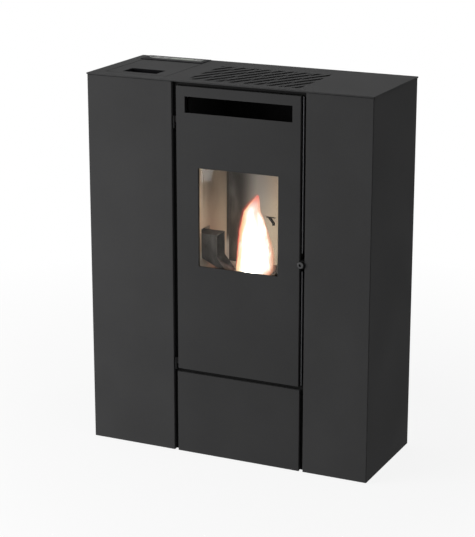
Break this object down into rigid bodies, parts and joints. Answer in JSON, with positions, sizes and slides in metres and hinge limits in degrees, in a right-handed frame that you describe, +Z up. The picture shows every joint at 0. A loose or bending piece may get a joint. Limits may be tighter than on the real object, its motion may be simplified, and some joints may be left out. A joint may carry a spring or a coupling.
{
  "type": "pellet stove",
  "caption": "Slim free-standing pellet stove: sheet-steel casing, glazed fire door, slotted top, hopper lid, control panel, burn pot, auger feed and fans.",
  "frame": {"origin": "floor level under the middle of the casing; the knob in front and the spigots behind reach equally far", "axes": "+X to the stove's right seen from the front, +Y to the back, +Z up"},
  "size_m": [0.904, 0.366, 1.1442],
  "materials": {
    "casing_coat": "satin",
    "door_coat": "satin",
    "frame_coat": "matte",
    "zinc_steel": "satin",
    "black_plastic": "matte",
    "panel_face": "gloss",
    "display": "gloss",
    "key_rubber": "satin",
    "ceramic_glass": "gloss",
    "rope": "woven",
    "silicone": "matte",
    "firebox_steel": "matte",
    "vermiculite": "rough",
    "cast_iron": "rough",
    "bare_steel": "satin",
    "latch_steel": "satin",
    "board_case": "matte",
    "foot_rubber": "matte"
  },
  "bodies": {
    "stove": {"base_plate": "frame_coat", "levelling_feet": "foot_rubber", "front_frame": "frame_coat", "chassis_frame": "frame_coat", "left_casing": "casing_coat", "right_casing": "casing_coat", "back_panel": "zinc_steel", "top_plate": "casing_coat", "lid_hinge_brackets": "zinc_steel", "control_bezel": "black_plastic", "control_face": "panel_face", "display_window": "display", "lower_front_cover": "door_coat", "door_hinge_pins": "frame_coat", "firebox_body": "firebox_steel", "liner_left": "vermiculite", "liner_right": "vermiculite", "fireback": "vermiculite", "hearth_plate": "cast_iron", "baffle_plate": "vermiculite", "burner_air_box": "firebox_steel", "combustion_air_pipe": "bare_steel", "igniter": "bare_steel", "pellet_chute": "bare_steel", "auger_tube": "zinc_steel", "auger_motor": "zinc_steel", "hopper": "zinc_steel", "hopper_grid": "zinc_steel", "heat_exchanger_tubes": "bare_steel", "warm_air_duct": "frame_coat", "smoke_duct": "bare_steel", "smoke_fan_housing": "bare_steel", "smoke_fan_motor": "black_plastic", "room_fan_housing": "zinc_steel", "room_fan_motor": "black_plastic", "control_board": "board_case", "mains_inlet": "black_plastic", "casing_screws": "zinc_steel"},
    "door": {"door_panel": "door_coat", "door_frame": "frame_coat", "door_glass": "ceramic_glass", "glass_seal": "rope", "glass_clips": "zinc_steel", "door_rope_seal": "rope"},
    "latch": {"latch_knob": "latch_steel", "latch_cam": "zinc_steel"},
    "ash_drawer": {"ash_drawer": "bare_steel"},
    "lid": {"hopper_lid": "casing_coat", "lid_pull": "black_plastic", "lid_gasket": "silicone", "lid_hinge_arms": "zinc_steel"},
    "key_left": {"key_left": "key_rubber"},
    "key_middle": {"key_middle": "key_rubber"},
    "key_right": {"key_right": "key_rubber"},
    "power_button": {"power_button": "key_rubber"},
    "burn_pot": {"burn_pot": "cast_iron"},
    "auger": {"auger_screw": "bare_steel"},
    "smoke_impeller": {"smoke_fan_impeller": "bare_steel"},
    "room_impeller": {"room_fan_impeller": "zinc_steel"},
    "mains_switch": {"mains_switch": "black_plastic"}
  },
  "joints": [
    {"name": "door_hinge", "type": "hinge", "parent": "stove", "child": "door", "pos_m": [-0.166, -0.171, 0.6], "axis": [0, 0, -1], "range_deg": [0, 110]},
    {"name": "latch_turn", "type": "hinge", "parent": "door", "child": "latch", "pos_m": [0.2385, -0.17, 0.637], "axis": [0, -1, 0], "range_deg": [0, 90]},
    {"name": "ash_drawer_slide", "type": "slide", "parent": "stove", "child": "ash_drawer", "axis": [0, -1, 0], "range_m": [0, 0.195]},
    {"name": "lid_hinge", "type": "hinge", "parent": "stove", "child": "lid", "pos_m": [-0.311, 0.112, 1.13], "axis": [-1, 0, 0], "range_deg": [0, 75]},
    {"name": "burn_pot_lift", "type": "slide", "parent": "stove", "child": "burn_pot", "axis": [0, 0, 1], "range_m": [0, 0.06]},
    {"name": "auger_spin", "type": "hinge", "parent": "stove", "child": "auger", "pos_m": [-0.352, -0.0825, 0.56], "axis": [0.7071, 0, 0.7071], "continuous": true},
    {"name": "smoke_fan_spin", "type": "hinge", "parent": "stove", "child": "smoke_impeller", "pos_m": [0.1, 0.02, 0.13], "axis": [1, 0, 0], "continuous": true},
    {"name": "room_fan_spin", "type": "hinge", "parent": "stove", "child": "room_impeller", "pos_m": [-0.081, 0.03, 0.1], "axis": [1, 0, 0], "continuous": true},
    {"name": "mains_switch_rock", "type": "hinge", "parent": "stove", "child": "mains_switch", "pos_m": [0.404, 0.1695, 0.09], "axis": [-1, 0, 0], "range_deg": [0, 16]},
    {"name": "key_left_press", "type": "slide", "parent": "stove", "child": "key_left", "axis": [0, 0, -1], "range_m": [0, 0.0008], "stiffness_N_per_m": 400},
    {"name": "key_middle_press", "type": "slide", "parent": "stove", "child": "key_middle", "axis": [0, 0, -1], "range_m": [0, 0.0008], "stiffness_N_per_m": 400},
    {"name": "key_right_press", "type": "slide", "parent": "stove", "child": "key_right", "axis": [0, 0, -1], "range_m": [0, 0.0008], "stiffness_N_per_m": 400},
    {"name": "power_button_press", "type": "slide", "parent": "stove", "child": "power_button", "axis": [0, 0, -1], "range_m": [0, 0.0008], "stiffness_N_per_m": 400}
  ],
  "couplings": [
    {"joint": "latch_turn", "follows": "door_hinge", "ratio": 0.818},
    {"joint": "ash_drawer_slide", "follows": "door_hinge", "m_per_rad": 0.1}
  ]
}
